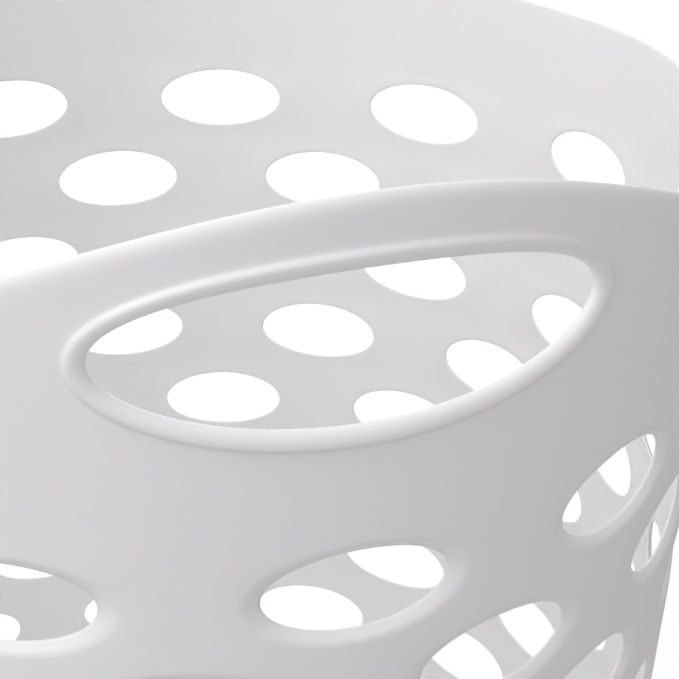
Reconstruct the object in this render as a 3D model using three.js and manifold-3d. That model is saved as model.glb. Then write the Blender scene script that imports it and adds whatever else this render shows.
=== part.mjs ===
// A perforated laundry hamper: one moulded tub, a hinged lid and the two pins it turns on.
// Millimetres, +Z up. The origin is the middle of the base, on the floor. The hand openings
// are at -Y and +Y, and the lid hinges at -X. The lid stands open.
import * as THREE from 'three';
import { mergeVertices } from 'three/addons/utils/BufferGeometryUtils.js';
import Module from 'manifold-3d';

const { Vector2, Vector3 } = THREE;

// Driving dimensions
const PLAN_RADIUS = 215; // mean outer radius, at the height of the top row of holes
const PLAN_OVAL = 0.019; // two-lobed share of the plan's radius
const PLAN_EGG = -0.039; // three-lobed share, which makes the -Y end the rounder one
const TAPER = 0.00044; // share of the plan gained for each mm of height
const WALL = 2.5;
const BASE_THICKNESS = 3;
const BASE_CORNER = 7;

const COLUMNS = 14; // holes in each row, every other row turned by half a step
const ROWS = 11;
const ROW_PITCH = 36;
const TOP_ROW_Z = 396;
const HOLE = { halfWidth: 27, halfHeight: 12.5 };

const RIM = { mean: 77.5, wave: 29, ripple: 10 }; // rim height above the top row of holes
const HANDLE = { z: TOP_ROW_Z + 74.2, halfWidth: 71, halfHeight: 22.2 };
const BEAD = { width: 6.3, slope: 1.2, height: 1.9 }; // raised lip around a hand opening

const LID = { gap: 1.2, thickness: 2.5, dome: 12, sideGap: 2, seat: 4, skirt: 8, openDegrees: 105 };
const LID_TAB = { width: 74, reach: 13 }; // finger tab opposite the hinge
const HINGE = { offset: 9.6, spacing: 90, radius: 5.5, bore: 2.6, knuckle: 16, flank: 9, play: 0.5 };
const LUG_DROP = 20; // height of a tub knuckle's foot on the wall
const PIN = { radius: 2.2, headRadius: 3.8, head: 1.8 };

// Values that follow from them
const LATTICE = COLUMNS * 4; // corner points around each level of the wall
const ROW_BORDER_Z = TOP_ROW_Z + ROW_PITCH / 2;
const BAND_BOTTOM_Z = ROW_BORDER_Z - ROWS * ROW_PITCH;
const LOW_RIM_Z = rimZ(0.25);
const HINGE_X = -(planAt(0.75, LOW_RIM_Z).length() + HINGE.offset);
const HINGE_Z = LOW_RIM_Z + LID.gap + LID.thickness / 2;
const LID_BACK_X = HINGE_X + 14; // straight back edge of the lid

const white = { color: 0xebebec, roughness: 0.45, metalness: 0 };
const polypropylene = new THREE.MeshStandardMaterial(white);
const nylon = new THREE.MeshStandardMaterial({ ...white, color: 0xdddddf, roughness: 0.35 });

const wasm = await Module();
wasm.setup();

// The plan of the tub, walked from +Y through +X, -Y and -X.
function planCurve() {
  const curve = new THREE.Curve();
  curve.arcLengthDivisions = 1400;
  curve.getPoint = (t, target = new Vector3()) => {
    const a = 2 * Math.PI * t;
    const r = PLAN_RADIUS * (1 + PLAN_OVAL * Math.cos(2 * a) + PLAN_EGG * Math.cos(3 * a));
    return target.set(r * Math.sin(a), r * Math.cos(a), 0);
  };
  return curve;
}

// The plan's point at share u of its length, at the size the taper gives it at height z.
function planAt(u, z) {
  planAt.curve ??= planCurve();
  const grow = 1 + TAPER * (z - TOP_ROW_Z);
  return planAt.curve.getPointAt(u - Math.floor(u)).multiplyScalar(grow);
}

// A point in the wall: depth 0 is the outer face and WALL the inner one.
function wallPoint({ u, z, depth = 0 }) {
  return planAt(u, z).multiplyScalar(1 - depth / PLAN_RADIUS).setZ(z);
}

function rimZ(u) {
  const a = 4 * Math.PI * u;
  return TOP_ROW_Z + RIM.mean + RIM.wave * Math.cos(a) + RIM.ripple * Math.cos(2 * a);
}

// Joins two loops of points, listed anticlockwise as seen from outside, inner loop first.
function bridge(faces, inner, outer) {
  inner.forEach((p, i) => {
    const j = (i + 1) % inner.length;
    faces.push(p, outer[i], outer[j], p, outer[j], inner[j]);
  });
}

// Both skins of the wall between two loops, with the inner skin facing the other way.
function wallBetween(faces, inner, outer) {
  bridge(faces, inner.map(wallPoint), outer.map(wallPoint));
  const deep = (loop) => loop.map((p) => wallPoint({ ...p, depth: WALL })).reverse();
  bridge(faces, deep(inner), deep(outer));
}

// An elliptical loop around (u, z), with its points spread evenly from the first corner's angle.
function ellipse(u, z, halfWidth, halfHeight, count, phase, depth = 0) {
  const around = planAt.curve.getLength() * (1 + TAPER * (z - TOP_ROW_Z));
  const fit = Math.sqrt((2 * Math.PI) / count / Math.sin((2 * Math.PI) / count)); // same area
  return Array.from({ length: count }, (_, i) => {
    const a = (2 * Math.PI * (i + phase)) / count;
    const across = halfWidth * fit * Math.cos(a);
    return { u: u - across / around, z: z + halfHeight * fit * Math.sin(a), depth };
  });
}

// A cell's border, anticlockwise from its right end as seen from outside.
function cellBorder(u, steps, topZ, bottomZ, sides = []) {
  const level = (z, from, to) => Array.from({ length: steps + 1 }, (_, i) => {
    const share = from + ((to - from) * i) / steps;
    const at = u - share * (steps / LATTICE);
    return { u: at, z: z(at) };
  });
  const edge = (share) => sides.map((z) => ({ u: u - share * (steps / LATTICE), z }));
  return [...edge(0.5), ...level(topZ, 0.5, -0.5), ...edge(-0.5), ...level(bottomZ, -0.5, 0.5)];
}

// One cell of a row: a stretch of wall with an elliptical hole through it.
function holeCell(faces, u, z) {
  const border = cellBorder(u, 4, () => z + ROW_PITCH / 2, () => z - ROW_PITCH / 2);
  const hole = ellipse(u, z, HOLE.halfWidth, HOLE.halfHeight, border.length, 0.5);
  wallBetween(faces, hole, border);
  bridge(faces, hole.map((p) => wallPoint({ ...p, depth: WALL })), hole.map(wallPoint));
}

// The cell that holds a hand opening, with the raised lip around it.
function handleCell(faces, u) {
  const border = cellBorder(u, 8, rimZ, () => ROW_BORDER_Z, [bandMiddle(u + 4 / LATTICE)]);
  const loop = (grow, depth) =>
    ellipse(u, HANDLE.z, HANDLE.halfWidth + grow, HANDLE.halfHeight + grow, border.length, 0, depth);
  const edge = loop(0, -BEAD.height);
  const crest = loop(BEAD.width - BEAD.slope, -BEAD.height);
  const foot = loop(BEAD.width, 0);
  bridge(faces, edge.map((p) => wallPoint({ ...p, depth: WALL })), edge.map(wallPoint));
  bridge(faces, edge.map(wallPoint), crest.map(wallPoint));
  bridge(faces, crest.map(wallPoint), foot.map(wallPoint));
  const deep = (points) => points.map((p) => wallPoint({ ...p, depth: WALL })).reverse();
  bridge(faces, deep(edge), deep(foot));
  wallBetween(faces, foot, border);
}

const bandMiddle = (u) => (ROW_BORDER_Z + rimZ(u)) / 2;

// A plain strip of wall between the top row of holes and the rim, one lattice step wide.
function bandStrip(faces, step) {
  const [right, left] = [step / LATTICE, (step + 1) / LATTICE];
  const levels = [() => ROW_BORDER_Z, bandMiddle, rimZ];
  const corner = (u, k, depth) => wallPoint({ u, z: levels[k](u), depth });
  for (let k = 0; k < 2; k++) {
    for (const [depth, a, b] of [[0, left, right], [WALL, right, left]]) {
      const quad = [corner(a, k, depth), corner(b, k, depth), corner(b, k + 1, depth), corner(a, k + 1, depth)];
      faces.push(quad[0], quad[1], quad[2], quad[0], quad[2], quad[3]);
    }
  }
}

// A level loop around the whole tub, anticlockwise as seen from above.
function levelLoop(z, depth) {
  return Array.from({ length: LATTICE }, (_, i) => wallPoint({ u: -i / LATTICE, z: z(-i / LATTICE), depth }));
}

// The rim's top face, the plain band under the last row, and the base.
function rimAndBase(faces) {
  bridge(faces, levelLoop(rimZ, WALL), levelLoop(rimZ, 0));
  const outside = [
    levelLoop(() => BAND_BOTTOM_Z, 0),
    levelLoop(() => BASE_CORNER, 0),
    levelLoop(() => BASE_CORNER * 0.29, BASE_CORNER * 0.29),
    levelLoop(() => 0, BASE_CORNER),
    levelLoop(() => 0, PLAN_RADIUS),
  ];
  const inside = [
    levelLoop(() => BAND_BOTTOM_Z, WALL),
    levelLoop(() => BASE_CORNER + BASE_THICKNESS / 2, WALL),
    levelLoop(() => BASE_THICKNESS, BASE_CORNER + WALL),
    levelLoop(() => BASE_THICKNESS, PLAN_RADIUS),
  ];
  outside.slice(1).forEach((lower, i) => bridge(faces, outside[i], lower));
  inside.slice(1).forEach((lower, i) => bridge(faces, lower, inside[i]));
}

function geometryOf(points) {
  const geometry = new THREE.BufferGeometry().setFromPoints(points);
  const merged = mergeVertices(geometry, 1e-3);
  const index = [];
  for (let i = 0; i < merged.index.count; i += 3) {
    const [a, b, c] = [0, 1, 2].map((k) => merged.index.getX(i + k));
    if (a !== b && b !== c && c !== a) index.push(a, b, c);
  }
  merged.setIndex(index);
  return merged;
}

// A manifold-3d solid from a three.js geometry, and the way back.
function solid(geometry) {
  const bare = geometry.clone();
  bare.deleteAttribute('normal');
  bare.deleteAttribute('uv');
  const { attributes, index } = mergeVertices(bare, 1e-3);
  return new wasm.Manifold(new wasm.Mesh({
    numProp: 3,
    vertProperties: new Float32Array(attributes.position.array),
    triVerts: new Uint32Array(index.array),
  }));
}

function geometryFrom(manifold) {
  const { vertProperties, triVerts } = manifold.getMesh();
  const geometry = new THREE.BufferGeometry();
  geometry.setAttribute('position', new THREE.BufferAttribute(vertProperties, 3));
  geometry.setIndex(new THREE.BufferAttribute(triVerts, 1));
  return geometry;
}

// An outline in X and Z drawn out along Y, centred at y.
function slabAlongY(outline, y, width) {
  const shape = new THREE.Shape(outline.map(([x, z]) => new Vector2(x, z)));
  const geometry = new THREE.ExtrudeGeometry(shape, { depth: width, bevelEnabled: false });
  return geometry.rotateX(Math.PI / 2).translate(0, y + width / 2, 0);
}

function rodAlongY(radius, y, width, sides = 20) {
  return new THREE.CylinderGeometry(radius, radius, width, sides).translate(HINGE_X, y, HINGE_Z);
}

// The tub's knuckle: a barrel on a foot that runs down the outside of the wall.
function tubKnuckle(y) {
  const inWall = -planAt(0.75, LOW_RIM_Z).length() + 20;
  const foot = slabAlongY([
    [HINGE_X - HINGE.radius * 0.97, HINGE_Z - 1],
    [inWall, HINGE_Z - LUG_DROP - HINGE.radius],
    [inWall, LOW_RIM_Z - 3],
    [LID_BACK_X - 1.5, LOW_RIM_Z - 1],
    [HINGE_X + HINGE.radius * 0.6, HINGE_Z + HINGE.radius * 0.7],
  ], y, HINGE.knuckle);
  return solid(rodAlongY(HINGE.radius, y, HINGE.knuckle)).add(solid(foot));
}

// The space inside the tub, out to the middle of the wall, over the knuckles' height.
function tubCore() {
  const faces = [];
  const loops = [LOW_RIM_Z - 60, LOW_RIM_Z + 20].map((z) => levelLoop(() => z, WALL / 2));
  const middle = (z) => levelLoop(() => z, PLAN_RADIUS);
  bridge(faces, loops[0], loops[1]);
  bridge(faces, middle(LOW_RIM_Z - 60), loops[0]);
  bridge(faces, loops[1], middle(LOW_RIM_Z + 20));
  return solid(geometryOf(faces.reverse()));
}

function tub() {
  const faces = [];
  for (let row = 0; row < ROWS; row++) {
    for (let column = 0; column < COLUMNS; column++) {
      holeCell(faces, (column + (row % 2) / 2) / COLUMNS, TOP_ROW_Z - row * ROW_PITCH);
    }
  }
  handleCell(faces, 0);
  handleCell(faces, 0.5);
  for (let step = 0; step < LATTICE; step++) {
    const fromHandle = (step + 4) % (LATTICE / 2);
    if (fromHandle >= 8) bandStrip(faces, step);
  }
  rimAndBase(faces);
  let body = solid(geometryOf(faces));
  const core = tubCore();
  for (const y of [-HINGE.spacing / 2, HINGE.spacing / 2]) {
    body = body.add(tubKnuckle(y).subtract(core));
    body = body.subtract(solid(rodAlongY(HINGE.bore, y, HINGE.knuckle + 2)));
  }
  return geometryFrom(body);
}

// A point of the lid at share rho from the middle to the rim, following the rim's wave.
function lidPoint(u, rho, rise, grow = 0) {
  const a = 4 * Math.PI * u;
  const wave = RIM.wave * Math.cos(a) * rho ** 2 + RIM.ripple * Math.cos(2 * a) * rho ** 4;
  const edge = planAt(u, rimZ(u));
  const z = TOP_ROW_Z + RIM.mean + LID.dome * (1 - rho ** 2) + wave + LID.gap + rise;
  return edge.multiplyScalar(rho + grow / PLAN_RADIUS).setZ(z);
}

// The lid's panel with its skirt, before the hinge end is trimmed.
function lidPanel() {
  const loop = (rho, rise, grow) =>
    Array.from({ length: LATTICE }, (_, i) => lidPoint(-i / LATTICE, rho, rise, grow));
  const level = (rise) => [
    loop(1, rise, LID.sideGap),
    loop(1, rise, -LID.seat),
    ...[0.88, 0.7, 0.45, 0.2, 0].map((rho) => loop(rho, rise)),
  ];
  const under = level(0);
  const over = level(LID.thickness);
  const skirtFoot = -LID.gap - LID.skirt;
  const skirt = [
    loop(1, 0, LID.sideGap),
    loop(1, skirtFoot, LID.sideGap),
    loop(1, skirtFoot, LID.sideGap + LID.thickness),
    loop(1, LID.thickness * 0.4, LID.sideGap + LID.thickness),
    loop(1, LID.thickness, LID.sideGap),
  ];
  const faces = [];
  over.slice(1).forEach((inner, i) => bridge(faces, inner, over[i]));
  under.slice(1).forEach((inner, i) => bridge(faces, under[i], inner));
  skirt.slice(1).forEach((next, i) => bridge(faces, next, skirt[i]));
  return solid(geometryOf(faces));
}

// The finger tab: a flat rounded tongue on the lid's edge, away from the hinge.
function lidTab() {
  const z = LOW_RIM_Z + LID.gap;
  const x = planAt(0.25, LOW_RIM_Z).length();
  const end = x + LID.sideGap + LID_TAB.reach;
  const half = LID_TAB.width / 2;
  const shape = new THREE.Shape();
  shape.moveTo(x - 4, -half);
  shape.lineTo(end - 12, -half + 4);
  shape.quadraticCurveTo(end, -half + 9, end, 0);
  shape.quadraticCurveTo(end, half - 9, end - 12, half - 4);
  shape.lineTo(x - 4, half);
  const settings = { depth: LID.thickness, bevelEnabled: false, curveSegments: 6 };
  return solid(new THREE.ExtrudeGeometry(shape, settings).translate(0, 0, z));
}

// A box that removes material from x0 to x1, over y either side of the middle, z0 to z1.
function cutter(x0, x1, y, z0, z1) {
  return solid(slabAlongY([[x0, z0], [x1, z0], [x1, z1], [x0, z1]], 0, 2 * y));
}

// The lid's knuckle: a barrel and a flat arm that runs under the panel's back edge.
function lidKnuckle(y) {
  const half = 1.6;
  const reach = LID_BACK_X + 6;
  const arm = slabAlongY([
    [HINGE_X, HINGE_Z - half],
    [reach, HINGE_Z - half],
    [reach, HINGE_Z + half],
    [HINGE_X, HINGE_Z + half],
  ], y, HINGE.flank);
  return solid(rodAlongY(HINGE.radius, y, HINGE.flank)).add(solid(arm));
}

function lid() {
  const low = LOW_RIM_Z + LID.gap;
  let body = lidPanel()
    .subtract(cutter(HINGE_X - 30, LID_BACK_X, 100, low - 60, low + 60))
    .subtract(cutter(HINGE_X - 30, HINGE_X + 90, 112, low - 60, low - 0.05))
    .add(lidTab());
  const flankCentre = HINGE.knuckle / 2 + HINGE.play + HINGE.flank / 2;
  for (const y of [-HINGE.spacing / 2, HINGE.spacing / 2]) {
    for (const side of [-flankCentre, flankCentre]) {
      body = body.add(lidKnuckle(y + side));
      body = body.subtract(solid(rodAlongY(HINGE.bore, y + side, HINGE.flank + 2)));
    }
  }
  return geometryFrom(body);
}

// A hinge pin, turned about Y, with its head at the outer end.
function hingePin(outward) {
  const half = HINGE.knuckle / 2 + HINGE.play + HINGE.flank + 0.6;
  const profile = [
    [0, -half - 1.2], [PIN.radius - 0.8, -half - 1.2], [PIN.radius, -half],
    [PIN.radius, half], [PIN.headRadius, half], [PIN.headRadius - 0.5, half + PIN.head],
    [0, half + PIN.head],
  ];
  const pin = new THREE.LatheGeometry(profile.map(([r, y]) => new Vector2(r, y)), 16);
  return outward > 0 ? pin : pin.rotateX(Math.PI);
}

function named(name, geometry, material) {
  const mesh = new THREE.Mesh(geometry, material);
  mesh.name = name;
  return mesh;
}

const hamper = new THREE.Group();
hamper.add(named('tub', tub(), polypropylene));

for (const [name, side] of [['hinge_pin_near', -1], ['hinge_pin_far', 1]]) {
  const pin = named(name, hingePin(side), nylon);
  pin.position.set(HINGE_X, (side * HINGE.spacing) / 2, HINGE_Z);
  hamper.add(pin);
}

const lidTurn = new THREE.Group();
lidTurn.position.set(HINGE_X, 0, HINGE_Z);
lidTurn.rotation.y = -THREE.MathUtils.degToRad(LID.openDegrees);
const lidMesh = named('lid', lid(), polypropylene);
lidMesh.position.set(-HINGE_X, 0, -HINGE_Z);
lidTurn.add(lidMesh);
hamper.add(lidTurn);

export default hamper;
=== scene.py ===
"""A perforated laundry hamper: one moulded tub, a saddle-shaped hinged lid and its two pins.

Sizes are in millimetres until a mesh is made, then metres. A place in the tub's wall is given as
u, the share of the plan's length walked from +Y through +X, and z, the height above the floor.
"""

import math

import bmesh
import bpy
import numpy as np
from mathutils import Matrix, Vector


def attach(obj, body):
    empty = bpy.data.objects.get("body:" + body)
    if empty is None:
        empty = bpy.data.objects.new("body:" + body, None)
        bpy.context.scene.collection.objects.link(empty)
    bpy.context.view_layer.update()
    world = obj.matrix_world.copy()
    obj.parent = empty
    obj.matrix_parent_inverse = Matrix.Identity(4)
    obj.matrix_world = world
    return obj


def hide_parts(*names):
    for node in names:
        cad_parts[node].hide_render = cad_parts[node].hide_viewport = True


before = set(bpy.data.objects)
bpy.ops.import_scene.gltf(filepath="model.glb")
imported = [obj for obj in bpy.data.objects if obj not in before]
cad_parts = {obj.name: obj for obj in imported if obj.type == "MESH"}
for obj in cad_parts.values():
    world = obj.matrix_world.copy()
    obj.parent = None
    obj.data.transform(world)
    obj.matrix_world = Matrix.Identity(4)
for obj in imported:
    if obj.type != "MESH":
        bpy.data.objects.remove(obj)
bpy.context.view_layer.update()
MM = 0.001

# The tub's dimensions, the same as the solids'
PLAN_RADIUS = 215
PLAN_OVAL = 0.019
PLAN_EGG = -0.039
TAPER = 0.00044
WALL = 2.5
BASE_THICKNESS = 3
BASE_CORNER = 7
COLUMNS = 14
ROWS = 11
ROW_PITCH = 36
TOP_ROW_Z = 396
HOLE_WIDE, HOLE_HIGH = 27, 12.5
RIM_MEAN, RIM_WAVE, RIM_RIPPLE = TOP_ROW_Z + 77.5, 29, 10
HANDLE_Z = TOP_ROW_Z + 74.2
HANDLE_WIDE, HANDLE_HIGH = 71, 22.2

# The lid and the hinge
LID_GAP = 1.2
LID_THICK = 2.5
LID_DOME = 12
LID_SIDE_GAP = 2
LID_SEAT = 4  # flat border inside the rim's outer edge
LID_SKIRT = 8
LID_OPEN = math.radians(105)
TAB_WIDE, TAB_REACH = 74, 13
HINGE_OFFSET = 9.6
HINGE_SPACING = 90
HINGE_RADIUS = 5.5
HINGE_BORE = 2.6
KNUCKLE, FLANK, PLAY = 16, 9, 0.5
LUG_DROP = 20
PIN_RADIUS, PIN_HEAD_RADIUS, PIN_HEAD = 2.2, 3.8, 1.8
BACK_EDGE = 14  # from the hinge's axis to the lid's straight back edge
ARM_THICK, ARM_OVERLAP = 3.2, 6  # the lid knuckle's arm, and how far it runs in under the panel

# Mesh fineness
STEPS = 16  # mesh columns across one hole cell
SIDES = 8  # mesh rows up the side of one hole cell
LATTICE = COLUMNS * STEPS
BAND_ROWS = 12  # mesh rows between the top row of holes and the rim
TIP_CROWDING = 0.2  # how far points on an ellipse crowd towards its sharp ends
HOLE_EVENNESS, HANDLE_EVENNESS = 0.35, 0.5  # 0 keeps a border point's direction, 1 spreads evenly


def plan_table():
    """The wall's plan as a closed curve: the length walked so far, x and y."""
    a = np.linspace(0, 2 * np.pi, 5761)
    r = PLAN_RADIUS * (1 + PLAN_OVAL * np.cos(2 * a) + PLAN_EGG * np.cos(3 * a))
    x, y = r * np.sin(a), r * np.cos(a)
    length = np.concatenate([[0], np.cumsum(np.hypot(np.diff(x), np.diff(y)))])
    return length, x, y


PLAN_S, PLAN_X, PLAN_Y = plan_table()
PLAN_LENGTH = PLAN_S[-1]


def wall_points(u, z, depth=0.0):
    """Points in the wall: depth 0 is the outer face and WALL the inner one."""
    u, z, depth = np.broadcast_arrays(*(np.asarray(v, float) for v in (u, z, depth)))
    s = np.mod(u, 1) * PLAN_LENGTH
    grow = (1 + TAPER * (z - TOP_ROW_Z)) * (1 - depth / PLAN_RADIUS)
    x = np.interp(s, PLAN_S, PLAN_X) * grow
    y = np.interp(s, PLAN_S, PLAN_Y) * grow
    return np.stack([x, y, z], -1)


def rim_z(u):
    """The rim's height: a hump over each hand opening and a dip between them."""
    a = 4 * np.pi * np.asarray(u, float)
    return RIM_MEAN + RIM_WAVE * np.cos(a) + RIM_RIPPLE * np.cos(2 * a)


LOW_RIM_Z = float(rim_z(0.25))
HINGE_X = -(np.hypot(*wall_points(0.75, LOW_RIM_Z)[:2]) + HINGE_OFFSET)
HINGE_Z = LOW_RIM_Z + LID_GAP + LID_THICK / 2


class Skin:
    """Collects quads between rings of points, then makes one mesh with shared vertices."""

    def __init__(self):
        self.points = []
        self.faces = []
        self.count = 0

    def bridge(self, inner, outer, closed=True):
        """Joins two rings listed anticlockwise as seen from outside, inner one first."""
        n = len(inner)
        a, b = self.count, self.count + n
        self.points += [inner, outer]
        self.count += 2 * n
        i = np.arange(n if closed else n - 1)
        j = (i + 1) % n
        self.faces.append(np.stack([a + i, b + i, b + j, a + j], -1))

    def rings(self, rings, closed=True):
        for inner, outer in zip(rings[:-1], rings[1:]):
            self.bridge(inner, outer, closed)

    def mesh_object(self, name, merge=1e-5):
        mesh = bpy.data.meshes.new(name)
        points = np.concatenate(self.points) * MM
        mesh.from_pydata(points.tolist(), [], np.concatenate(self.faces).tolist())
        piece = bpy.data.objects.new(name, mesh)
        bpy.context.scene.collection.objects.link(piece)
        weld(mesh, merge)
        mesh.polygons.foreach_set("use_smooth", [True] * len(mesh.polygons))
        return piece


def weld(mesh, distance):
    """Merges the points that neighbouring rings share."""
    bm = bmesh.new()
    bm.from_mesh(mesh)
    bmesh.ops.remove_doubles(bm, verts=bm.verts, dist=distance)
    bmesh.ops.dissolve_degenerate(bm, edges=bm.edges, dist=distance)
    bm.to_mesh(mesh)
    bm.free()


# ---- the tub's wall ----


def level(z):
    """A height that is the same all round, as a function of u."""
    return lambda u: z + 0 * np.asarray(u, float)


def cell_border(u, steps, sides, top, bottom):
    """A cell's border, anticlockwise from the middle of its right side, as (u, z) columns."""
    half = steps / 2 / LATTICE
    across = np.linspace(-half, half, steps + 1)
    up = np.linspace(0, 1, sides + 1)

    def side(at):
        low, high = bottom(at), top(at)
        return np.stack([np.full_like(up, at), low + (high - low) * up], -1)

    right, left = side(u - half), side(u + half)
    above = np.stack([u + across, top(u + across)], -1)
    below = np.stack([u + across[::-1], bottom(u + across[::-1])], -1)
    loop = np.concatenate([right[:-1], above[:-1], left[::-1][:-1], below[:-1]])
    return np.roll(loop, -(sides // 2), axis=0)


def angles_for(border, u, z, wide, high, around, even):
    """Each border point's angle around an ellipse: its own direction, or evenly spread."""
    direction = np.arctan2((border[:, 1] - z) / high, (u - border[:, 0]) * around / wide)
    steady = np.arange(len(border)) * 2 * np.pi / len(border)
    turn = np.angle(np.exp(1j * (direction - steady)))
    angles = steady + (1 - even) * turn
    return angles - TIP_CROWDING * np.sin(2 * angles)


def ellipse(u, z, wide, high, angles, around):
    return np.stack([u - wide * np.cos(angles) / around, z + high * np.sin(angles)], -1)


def place(loop, depth=0.0):
    return wall_points(loop[:, 0], loop[:, 1], depth)


def towards(inner, outer, shares):
    return [inner + (outer - inner) * s for s in shares]


ROLL_WIDE, ROLL_HIGH = 7.0, 4.2  # how far a hole's sloped edge spreads along and up the wall
ROLL = [  # (share of that spread, share of the depth), a slope that eases into the outer face
    (0, 1), (0.2, 0.77), (0.42, 0.46), (0.6, 0.22), (0.79, 0.06), (1, 0),
]
CRISP = 0.6  # small radius on the inner face's edges
INNER_LIP = 0.6  # how far a hole's edge stands in from the inner face, and over what distance
INNER_LIP_SPREAD = 2


def hole_cell(skin, u, z):
    """One oval hole and the wall around it, outer and inner face."""
    border = cell_border(u, STEPS, SIDES, level(z + ROW_PITCH / 2), level(z - ROW_PITCH / 2))
    around = PLAN_LENGTH * (1 + TAPER * (z - TOP_ROW_Z))
    angles = angles_for(border, u, z, HOLE_WIDE, HOLE_HIGH, around, HOLE_EVENNESS)
    loop = lambda dx, dz: ellipse(u, z, HOLE_WIDE + dx, HOLE_HIGH + dz, angles, around)
    deepest = WALL + INNER_LIP
    rolled = []
    for turn in np.radians((0, 45)):
        spread = CRISP * (1 - math.sin(turn))
        rolled.append(place(loop(spread, spread), deepest - CRISP * (1 - math.cos(turn))))
    for spread, depth in ROLL:
        ring = loop(ROLL_WIDE * spread, ROLL_HIGH * spread)
        rolled.append(place(ring, (deepest - CRISP) * depth))
    last = loop(ROLL_WIDE, ROLL_HIGH)
    skin.rings(rolled + [place(p) for p in towards(last, border, (0.5, 1))])
    foot = loop(CRISP + INNER_LIP_SPREAD, CRISP + INNER_LIP_SPREAD)
    back = [place(loop(CRISP, CRISP), deepest), place(foot, WALL), place(border, WALL)]
    skin.rings([ring[::-1] for ring in back])


# The hand opening's lip, from the inner face out over the bead: (distance from the edge, depth)
LIP = [
    (0.6, WALL), (0.15, WALL - 0.15), (0, WALL - 0.6), (0, 1.4), (0.14, 0.7), (0.56, 0.07),
    (1.23, -0.5), (2.1, -0.95), (3.1, -1.27), (4.1, -1.4), (4.8, -1.28), (5.3, -0.95),
    (5.65, -0.55), (5.95, -0.22), (6.3, -0.05), (7.2, 0),
]


def handle_cell(skin, u):
    """One hand opening with its raised lip, and the wall around it up to the rim."""
    floor = TOP_ROW_Z + ROW_PITCH / 2
    border = cell_border(u, 2 * STEPS, BAND_ROWS, band_top, level(floor))
    around = PLAN_LENGTH * (1 + TAPER * (HANDLE_Z - TOP_ROW_Z))
    angles = angles_for(border, u, HANDLE_Z, HANDLE_WIDE, HANDLE_HIGH, around, HANDLE_EVENNESS)
    loop = lambda d: ellipse(u, HANDLE_Z, HANDLE_WIDE + d, HANDLE_HIGH + d, angles, around)
    lip = [place(loop(d), depth) for d, depth in LIP]
    foot = loop(LIP[-1][0])
    beyond = [place(p) for p in towards(foot, border, (0.12, 0.3, 0.5, 0.75, 1))]
    skin.rings(lip + beyond)
    back = [place(p, WALL)[::-1] for p in towards(loop(LIP[0][0]), border, (0, 0.25, 0.5, 0.75, 1))]
    skin.rings(back)


# The rim's round-over: (height below the top, depth), from the outer face to the inner one
RIM_ROLL = [
    (4.5, 0), (3.3, 0.12), (2.2, 0.36), (1.3, 0.7), (0.6, 1.1), (0.15, 1.5), (0, 1.85),
    (0.12, 2.2), (0.4, 2.42), (0.9, WALL), (4.5, WALL),
]


def band_top(u):
    return rim_z(u) - RIM_ROLL[0][0]


def plain_band(skin):
    """The wall on either side of the hand openings, above the top row of holes."""
    floor = TOP_ROW_Z + ROW_PITCH / 2
    for start in (STEPS, STEPS + LATTICE // 2):
        u = (start + np.arange(LATTICE // 2 - 2 * STEPS + 1)) / LATTICE
        levels = [floor + (band_top(u) - floor) * share for share in np.linspace(0, 1, BAND_ROWS + 1)]
        outer = [wall_points(u, z) for z in levels]
        inner = [wall_points(u, z, WALL)[::-1] for z in levels]
        skin.rings(outer, closed=False)
        skin.rings(inner, closed=False)


def level_loop(z, depth):
    """A ring around the whole tub, anticlockwise as seen from above."""
    u = -np.arange(LATTICE) / LATTICE
    return wall_points(u, z(u) if callable(z) else z, depth)


def rim_and_base(skin):
    """The rounded rim, and below the holes the rounded corner and flat base, inside and out."""
    skin.rings([level_loop(lambda u, d=drop: rim_z(u) - d, depth) for drop, depth in RIM_ROLL][::-1])
    bottom = TOP_ROW_Z - (ROWS - 0.5) * ROW_PITCH
    outside = [level_loop(bottom, 0), level_loop((bottom + BASE_CORNER) / 2, 0)]
    inside = [level_loop(bottom, WALL), level_loop((bottom + BASE_CORNER + BASE_THICKNESS) / 2, WALL)]
    for share in np.linspace(0, 1, 7):
        turn = share * np.pi / 2
        rise, run = BASE_CORNER * (1 - math.sin(turn)), BASE_CORNER * (1 - math.cos(turn))
        outside.append(level_loop(rise, run))
        inside.append(level_loop(BASE_THICKNESS + rise, WALL + run))
    for depth in (PLAN_RADIUS * 0.3, PLAN_RADIUS * 0.65, PLAN_RADIUS):
        outside.append(level_loop(0, depth))
        inside.append(level_loop(BASE_THICKNESS, depth))
    skin.rings(outside)
    skin.rings(inside[::-1])


def make_tub():
    skin = Skin()
    for row in range(ROWS):
        for column in range(COLUMNS):
            hole_cell(skin, (column + (row % 2) / 2) / COLUMNS, TOP_ROW_Z - row * ROW_PITCH)
    handle_cell(skin, 0.0)
    handle_cell(skin, 0.5)
    plain_band(skin)
    rim_and_base(skin)
    return skin.mesh_object("tub_moulding")


# ---- small mesh helpers ----


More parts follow.
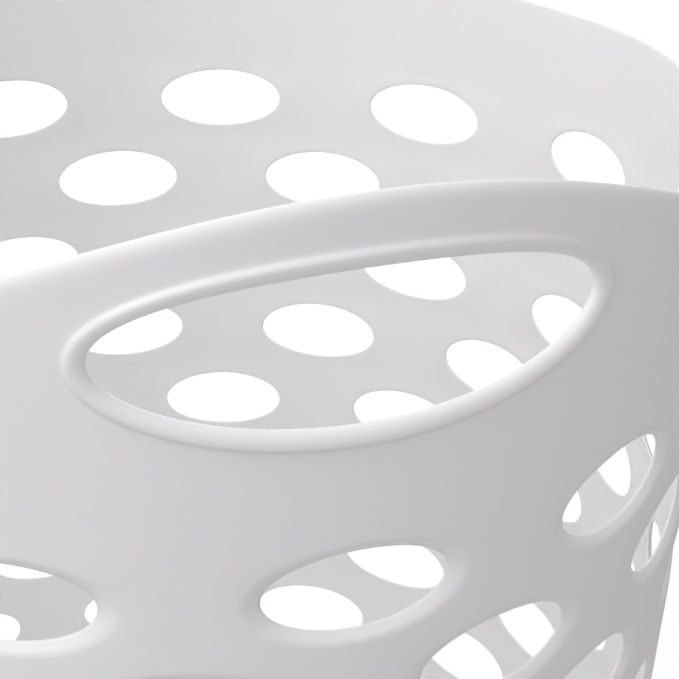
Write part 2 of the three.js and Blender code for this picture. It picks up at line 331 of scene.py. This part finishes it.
def prism_along_y(name, outline, y, width, bevel=0.5):
    """An outline drawn out along Y; outline(y) lists (x, z) points. Long edges are softened."""
    mesh = bpy.data.meshes.new(name)
    bm = bmesh.new()
    slices = []
    for at in np.linspace(y - width / 2, y + width / 2, 5):
        slices.append([bm.verts.new((x * MM, at * MM, z * MM)) for x, z in outline(at)])
    bm.faces.new(slices[0])
    bm.faces.new(slices[-1][::-1])
    for near, far in zip(slices[:-1], slices[1:]):
        for i in range(len(near)):
            bm.faces.new((near[i], near[i - 1], far[i - 1], far[i]))
    bmesh.ops.recalc_face_normals(bm, faces=bm.faces)
    bm.to_mesh(mesh)
    bm.free()
    piece = bpy.data.objects.new(name, mesh)
    bpy.context.scene.collection.objects.link(piece)
    if bevel:
        soften = piece.modifiers.new("soft_edges", "BEVEL")
        soften.width = bevel * MM
        soften.segments = 3
        soften.limit_method = "ANGLE"
        soften.angle_limit = math.radians(32)
    return piece


def arc(x, z, radius, start, end, count):
    turns = np.radians(np.linspace(start, end, count))
    return [(x + radius * math.cos(t), z + radius * math.sin(t)) for t in turns]


def apply_modifiers(piece):
    bpy.context.view_layer.update()
    ready = piece.evaluated_get(bpy.context.evaluated_depsgraph_get())
    mesh = bpy.data.meshes.new_from_object(ready)
    piece.modifiers.clear()
    piece.data = mesh


def combine(piece, other, operation):
    """Joins or cuts one piece with another, which is then deleted."""
    if other.modifiers:
        apply_modifiers(other)
    change = piece.modifiers.new("combine", "BOOLEAN")
    change.operation = operation
    change.solver = "EXACT"
    change.object = other
    apply_modifiers(piece)
    bpy.data.objects.remove(other)


def smooth(piece, angle=35):
    """Smooth shading that keeps edges sharper than the angle."""
    mesh = piece.data
    mesh.polygons.foreach_set("use_smooth", [True] * len(mesh.polygons))
    mesh.set_sharp_from_angle(angle=math.radians(angle))


# ---- hinge knuckles and pins ----


def bore(y, width):
    """A cutter on the hinge's axis."""
    hole = arc(HINGE_X, HINGE_Z, HINGE_BORE, 0, 360, 33)[:-1]
    return prism_along_y("bore", lambda _: hole, y, width, bevel=0)


def wall_x(y, z):
    """The middle of the wall on the hinge side, at a distance y along the hinge."""
    u = np.linspace(0.65, 0.85, 801)
    points = wall_points(u, z, WALL / 2)
    return float(np.interp(y, points[:, 1], points[:, 0]))


def tub_knuckle(name, y):
    """A barrel on a foot that runs down the outside of the wall, bored for its pin."""
    foot_z = HINGE_Z - LUG_DROP - HINGE_RADIUS

    def outline(at):
        top_z = LOW_RIM_Z - 3
        points = arc(HINGE_X, HINGE_Z, HINGE_RADIUS, 45, 190, 14)
        points += [(wall_x(at, foot_z), foot_z), (wall_x(at, top_z), top_z)]
        return points

    piece = prism_along_y(name, outline, y, KNUCKLE)
    apply_modifiers(piece)
    combine(piece, bore(y, KNUCKLE + 4), "DIFFERENCE")
    smooth(piece)
    return piece


def lid_knuckle(y):
    """A barrel and a flat arm that runs under the lid's back edge."""
    half = ARM_THICK / 2
    reach = HINGE_X + BACK_EDGE + ARM_OVERLAP
    outline = arc(HINGE_X, HINGE_Z, HINGE_RADIUS, 17, 343, 26)
    outline += [(reach, HINGE_Z - half), (reach, HINGE_Z + half)]
    return prism_along_y("lid_knuckle", lambda _: outline, y, FLANK)


def hinge_pin(name, side):
    """A turned pin with a domed head at its outer end."""
    half = KNUCKLE / 2 + PLAY + FLANK + 0.6
    profile = [(0, -half - 1.2), (PIN_RADIUS - 0.8, -half - 1.2), (PIN_RADIUS, -half)]
    profile += [(PIN_RADIUS, half), (PIN_HEAD_RADIUS - 0.2, half), (PIN_HEAD_RADIUS, half + 0.25)]
    for turn in np.radians(np.linspace(15, 90, 6)):
        profile.append((PIN_HEAD_RADIUS * math.cos(turn), half + PIN_HEAD * math.sin(turn)))
    turns = np.linspace(0, 2 * np.pi, 48, endpoint=False)
    skin = Skin()
    rings = []
    for radius, along in profile:
        x = HINGE_X + radius * np.cos(turns)
        y = np.full_like(turns, side * (HINGE_SPACING / 2 + along))
        z = HINGE_Z + radius * np.sin(turns) * side
        rings.append(np.stack([x, y, z], -1))
    skin.rings(rings)
    piece = skin.mesh_object(name)
    smooth(piece, 40)
    return piece


# ---- the lid, modelled closed and then turned open ----


def lid_loop(rho, rise, grow=0.0):
    """A ring of the lid at share rho of the way out, grow millimetres further."""
    u = -np.arange(LATTICE) / LATTICE
    a = 4 * np.pi * u
    wave = RIM_WAVE * np.cos(a) * rho**2 + RIM_RIPPLE * np.cos(2 * a) * rho**4
    points = wall_points(u, rim_z(u)) * (rho + grow / PLAN_RADIUS)
    points[:, 2] = RIM_MEAN + LID_DOME * (1 - rho**2) + wave + LID_GAP + rise
    return points


LID_RINGS = (0, 0.1, 0.2, 0.32, 0.45, 0.58, 0.7, 0.8, 0.88, 0.93)


def lid_panel():
    """The panel, its flat border, rounded shoulder and skirt, as one closed skin."""
    outer = LID_SIDE_GAP + LID_THICK
    foot = -LID_GAP - LID_SKIRT
    rings = [lid_loop(rho, LID_THICK) for rho in LID_RINGS]
    rings += [lid_loop(1, LID_THICK, grow) for grow in (-LID_SEAT - 1.5, -LID_SEAT + 0.5, 0)]
    for turn in np.radians(np.linspace(0, 90, 6)):
        rise = LID_THICK - 1.8 * (1 - math.cos(turn))
        rings.append(lid_loop(1, rise, outer - 3 + 3 * math.sin(turn)))
    rings += [lid_loop(1, foot * 0.5, outer), lid_loop(1, foot + 1.1, outer)]
    for turn in np.radians(np.linspace(15, 165, 6)):
        half = LID_THICK / 2
        grow = LID_SIDE_GAP + half + half * math.cos(turn)
        rings.append(lid_loop(1, foot + 1 - math.sin(turn), grow))
    rings += [lid_loop(1, foot + 1.1, LID_SIDE_GAP), lid_loop(1, -0.7, LID_SIDE_GAP)]
    rings += [lid_loop(1, -0.1, LID_SIDE_GAP - 0.6), lid_loop(1, 0, -LID_SEAT)]
    rings += [lid_loop(rho, 0) for rho in LID_RINGS[::-1]]
    skin = Skin()
    skin.rings(rings)
    return skin.mesh_object("lid_moulding")


def block(x0, x1, y, z0, z1):
    """A cutter box, centred on y = 0 and reaching y to either side."""
    corners = [(x0, z0), (x1, z0), (x1, z1), (x0, z1)]
    return prism_along_y("cut", lambda _: corners, 0, 2 * y, bevel=0)


def lid_tab():
    """A rounded finger tongue on the lid's edge, opposite the hinge."""
    start = float(np.hypot(*wall_points(0.25, LOW_RIM_Z)[:2])) - 4
    end = start + 4 + LID_SIDE_GAP + TAB_REACH
    half = TAB_WIDE / 2
    across = np.linspace(-1, 1, 25)
    edge = end - 12 * np.abs(across) ** 3
    low = LOW_RIM_Z + LID_GAP
    mesh = bpy.data.meshes.new("tab")
    bm = bmesh.new()
    layers = []
    for z in (low, low + LID_THICK):
        outline = [(x, y * (half - 4)) for x, y in zip(edge, across)]
        outline += [(start, half), (start, -half)]
        layers.append([bm.verts.new((x * MM, y * MM, z * MM)) for x, y in outline])
    bm.faces.new(layers[0][::-1])
    bm.faces.new(layers[1])
    for i in range(len(layers[0])):
        bm.faces.new((layers[0][i - 1], layers[0][i], layers[1][i], layers[1][i - 1]))
    bmesh.ops.recalc_face_normals(bm, faces=bm.faces)
    bm.to_mesh(mesh)
    bm.free()
    piece = bpy.data.objects.new("tab", mesh)
    bpy.context.scene.collection.objects.link(piece)
    soften = piece.modifiers.new("soft_edges", "BEVEL")
    soften.width = 0.9 * MM
    soften.segments = 3
    soften.limit_method = "ANGLE"
    soften.angle_limit = math.radians(40)
    return piece


def make_lid():
    lid = lid_panel()
    low = LOW_RIM_Z + LID_GAP
    back = HINGE_X + BACK_EDGE
    combine(lid, block(HINGE_X - 30, back, 100, low - 60, low + 60), "DIFFERENCE")
    combine(lid, block(HINGE_X - 30, HINGE_X + 90, 112, low - 60, low - 0.05), "DIFFERENCE")
    combine(lid, lid_tab(), "UNION")
    beside = KNUCKLE / 2 + PLAY + FLANK / 2
    for y in (-HINGE_SPACING / 2, HINGE_SPACING / 2):
        for side in (-beside, beside):
            combine(lid, lid_knuckle(y + side), "UNION")
            combine(lid, bore(y + side, FLANK + 1.4), "DIFFERENCE")
    smooth(lid, 30)
    return lid


def open_lid(piece):
    """Turns the closed lid back to the rest pose."""
    hinge = Vector((HINGE_X, 0, HINGE_Z)) * MM
    turn = Matrix.Translation(hinge) @ Matrix.Rotation(-LID_OPEN, 4, "Y") @ Matrix.Translation(-hinge)
    piece.data.transform(turn)


# ---- materials ----


def moulded_plastic(name, colour, roughness, grain):
    """Moulded plastic: a soft satin skin with mould grain, faint clouding and glossier patches."""
    material = bpy.data.materials.new(name)
    material.use_nodes = True
    nodes, links = material.node_tree.nodes, material.node_tree.links
    shader = nodes["Principled BSDF"]
    shader.inputs["IOR"].default_value = 1.49
    shader.inputs["Subsurface Weight"].default_value = 0.35
    shader.inputs["Subsurface Radius"].default_value = (0.9, 1.0, 1.0)
    shader.inputs["Subsurface Scale"].default_value = 0.0025
    where = nodes.new("ShaderNodeTexCoord")

    def noise(scale, detail, stretch=(1, 1, 1)):
        place = nodes.new("ShaderNodeMapping")
        place.inputs["Scale"].default_value = stretch
        texture = nodes.new("ShaderNodeTexNoise")
        texture.inputs["Scale"].default_value = scale
        texture.inputs["Detail"].default_value = detail
        links.new(where.outputs["Object"], place.inputs["Vector"])
        links.new(place.outputs["Vector"], texture.inputs["Vector"])
        return texture.outputs["Fac"]

    def remap(value, low, high):
        change = nodes.new("ShaderNodeMapRange")
        change.inputs["From Min"].default_value = 0.3
        change.inputs["From Max"].default_value = 0.7
        change.inputs["To Min"].default_value = low
        change.inputs["To Max"].default_value = high
        links.new(value, change.inputs["Value"])
        return change.outputs["Result"]

    # colour: slow clouding from the melt's flow, stretched up the wall
    tint = nodes.new("ShaderNodeMix")
    tint.data_type = "RGBA"
    links.new(remap(noise(7, 3, (1, 1, 0.45)), 0, 1), tint.inputs["Factor"])
    tint.inputs[6].default_value = (*(c * 0.975 for c in colour), 1)
    tint.inputs[7].default_value = (*colour, 1)
    links.new(tint.outputs[2], shader.inputs["Base Color"])

    # roughness: slow patches a little glossier or duller
    links.new(remap(noise(22, 4), roughness - 0.05, roughness + 0.06), shader.inputs["Roughness"])

    # relief: long gentle sink waves under a fine mould grain
    waves = nodes.new("ShaderNodeBump")
    waves.inputs["Strength"].default_value = 0.12
    waves.inputs["Distance"].default_value = 0.0006
    links.new(noise(45, 2), waves.inputs["Height"])
    fine = nodes.new("ShaderNodeBump")
    fine.inputs["Strength"].default_value = grain
    fine.inputs["Distance"].default_value = 0.00012
    links.new(noise(1900, 3), fine.inputs["Height"])
    links.new(waves.outputs["Normal"], fine.inputs["Normal"])
    links.new(fine.outputs["Normal"], shader.inputs["Normal"])
    return material


def finish_piece(piece, body, material):
    piece.data.materials.clear()
    piece.data.materials.append(material)
    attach(piece, body)


WHITE, OFF_WHITE = (0.92, 0.92, 0.925), (0.72, 0.72, 0.74)
tub_finish = moulded_plastic("tub_plastic_white", WHITE, roughness=0.46, grain=0.16)
lid_finish = moulded_plastic("lid_plastic_white", WHITE, roughness=0.44, grain=0.16)
pin_finish = moulded_plastic("pin_plastic_white", OFF_WHITE, roughness=0.34, grain=0.10)

tub = make_tub()
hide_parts("tub")
finish_piece(tub, "tub_body", tub_finish)
for name, side in (("tub_knuckle_near", -1), ("tub_knuckle_far", 1)):
    knuckle = tub_knuckle(name, side * HINGE_SPACING / 2)
    finish_piece(knuckle, "tub_body", tub_finish)
for name, side in (("near", -1), ("far", 1)):
    pin = hinge_pin("pin_" + name, side)
    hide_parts("hinge_pin_" + name)
    finish_piece(pin, "tub_body", pin_finish)
lid = make_lid()
open_lid(lid)
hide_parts("lid")
finish_piece(lid, "lid_body", lid_finish)


# ---- the floor, the light and the camera ----


def disc(name, radius, z, count=64):
    turns = np.linspace(0, 2 * np.pi, count, endpoint=False)
    mesh = bpy.data.meshes.new(name)
    points = [(radius * math.cos(t), radius * math.sin(t), z) for t in turns]
    mesh.from_pydata(points, [], [tuple(range(count))])
    piece = bpy.data.objects.new(name, mesh)
    bpy.context.scene.collection.objects.link(piece)
    return piece


def glowing_white(name, base, glow):
    material = bpy.data.materials.new(name)
    material.use_nodes = True
    shader = material.node_tree.nodes["Principled BSDF"]
    shader.inputs["Base Color"].default_value = (base, base, base, 1)
    shader.inputs["Roughness"].default_value = 0.9
    shader.inputs["Specular IOR Level"].default_value = 0.1
    shader.inputs["Emission Color"].default_value = (1, 1, 1, 1)
    shader.inputs["Emission Strength"].default_value = glow
    return material


FLOOR_RADIUS, DOME_RADIUS = 14, 13.5  # metres, as all of the stage is
FLOOR_Z = -0.0005  # a hair under the base

floor = disc("floor", FLOOR_RADIUS, FLOOR_Z)
floor.data.materials.append(glowing_white("floor_white", base=0.35, glow=0.7))
floor.visible_diffuse = False
floor.visible_glossy = False


def sky_dome(radius):
    """A white half-dome seen only by the camera, so that the light stays soft and even."""
    skin = Skin()
    turns = np.linspace(0, 2 * np.pi, 48, endpoint=False)
    rings = []
    for up in np.radians(np.linspace(-2, 90, 14)):
        across, rise = math.cos(up), np.full_like(turns, math.sin(up))
        ring = np.stack([np.cos(turns) * across, -np.sin(turns) * across, rise], -1)
        rings.append(ring * radius / MM)
    skin.rings(rings[::-1])
    return skin.mesh_object("backdrop")


dome = sky_dome(DOME_RADIUS)
dome.data.materials.append(glowing_white("backdrop_white", base=0.0, glow=1.15))
dome.visible_diffuse = False
dome.visible_glossy = False
dome.visible_shadow = False

ROOM_COLOUR, ROOM_STRENGTH = (1, 0.963, 0.97, 1), 0.475
world = bpy.data.worlds.new("soft_room")
world.use_nodes = True
world.node_tree.nodes["Background"].inputs["Color"].default_value = ROOM_COLOUR
world.node_tree.nodes["Background"].inputs["Strength"].default_value = ROOM_STRENGTH
bpy.context.scene.world = world


def softbox(name, place, target, width, height, power, colour):
    """A rectangular lamp of the given watts, aimed at a point."""
    light = bpy.data.lights.new(name, "AREA")
    light.shape = "RECTANGLE"
    light.size, light.size_y = width, height
    light.energy = power
    light.color = colour
    lamp = bpy.data.objects.new(name, light)
    lamp.location = place
    aim = Vector(target) - Vector(place)
    lamp.rotation_mode = "QUATERNION"
    lamp.rotation_quaternion = aim.to_track_quat("-Z", "Y")
    bpy.context.scene.collection.objects.link(lamp)


WARM, COOL = (1, 0.97, 0.95), (0.93, 0.965, 1)
LAMPS = [  # name, place, point aimed at, width, height, watts, colour
    ("key", (-2.0, -0.4, 2.7), (0, 0, 0.35), 1.6, 1.6, 41, WARM),
    ("side", (-2.6, -0.8, 1.6), (0, 0, 0.35), 1.6, 1.6, 7, COOL),
    ("front", (-1.6, -2.2, 1.9), (0, 0, 0.35), 1.6, 1.6, 13, COOL),
    ("top", (0.2, 0.3, 3.0), (0, 0, 0.4), 2.2, 2.2, 12, COOL),
    ("back", (0.8, 2.8, 0.7), (0, 0, 0.3), 2.4, 1.2, 44, COOL),
]
for lamp in LAMPS:
    softbox(*lamp)

EYE = (-0.16905, -0.66137, 0.6816)
AHEAD = (0.3197, 0.8520, -0.4145)
LENS, SENSOR = 109.2, 36  # millimetres
VIEW_LIMIT = 60  # metres, past the backdrop's far side
camera = bpy.data.objects.new("camera", bpy.data.cameras.new("camera"))
camera.data.lens = LENS
camera.data.sensor_width = SENSOR
camera.data.clip_end = VIEW_LIMIT
camera.location = EYE
camera.rotation_mode = "QUATERNION"
camera.rotation_quaternion = Vector(AHEAD).normalized().to_track_quat("-Z", "Y")
bpy.context.scene.collection.objects.link(camera)
bpy.context.scene.camera = camera
bpy.context.scene.view_settings.view_transform = "Standard"
